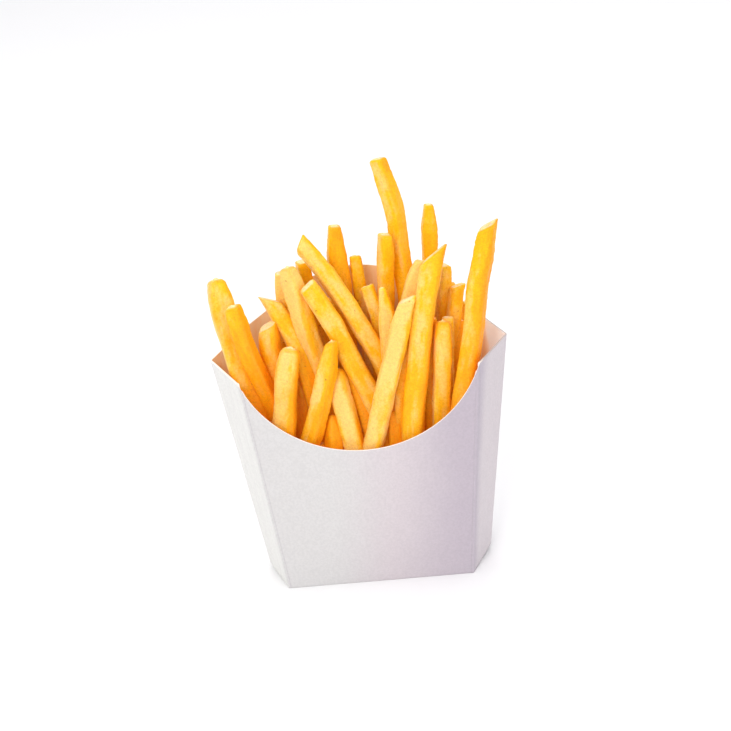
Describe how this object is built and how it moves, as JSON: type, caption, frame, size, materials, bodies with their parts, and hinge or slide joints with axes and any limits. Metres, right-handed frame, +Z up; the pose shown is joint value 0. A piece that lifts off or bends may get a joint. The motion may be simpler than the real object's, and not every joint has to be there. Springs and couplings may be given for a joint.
{
  "type": "french fries in a carton",
  "caption": "Golden french fries of uneven length standing in an open white paperboard carton with a scooped front, an arched back and sharp side folds.",
  "frame": {"origin": "middle of the carton's base, on its underside", "axes": "+Z up, -Y towards the scooped front, +X to the right as seen from the front"},
  "size_m": [0.108, 0.0409, 0.1556],
  "materials": {
    "board": "uncoated white paperboard, faintly lilac, matt, with fine fibre and pressed creases",
    "potato": "fried potato: golden yellow with paler and browner patches, a fine blistered crust with a soft oily sheen"
  },
  "bodies": {
    "root": {"carton": "board", "fries": "potato"}
  },
  "joints": []
}
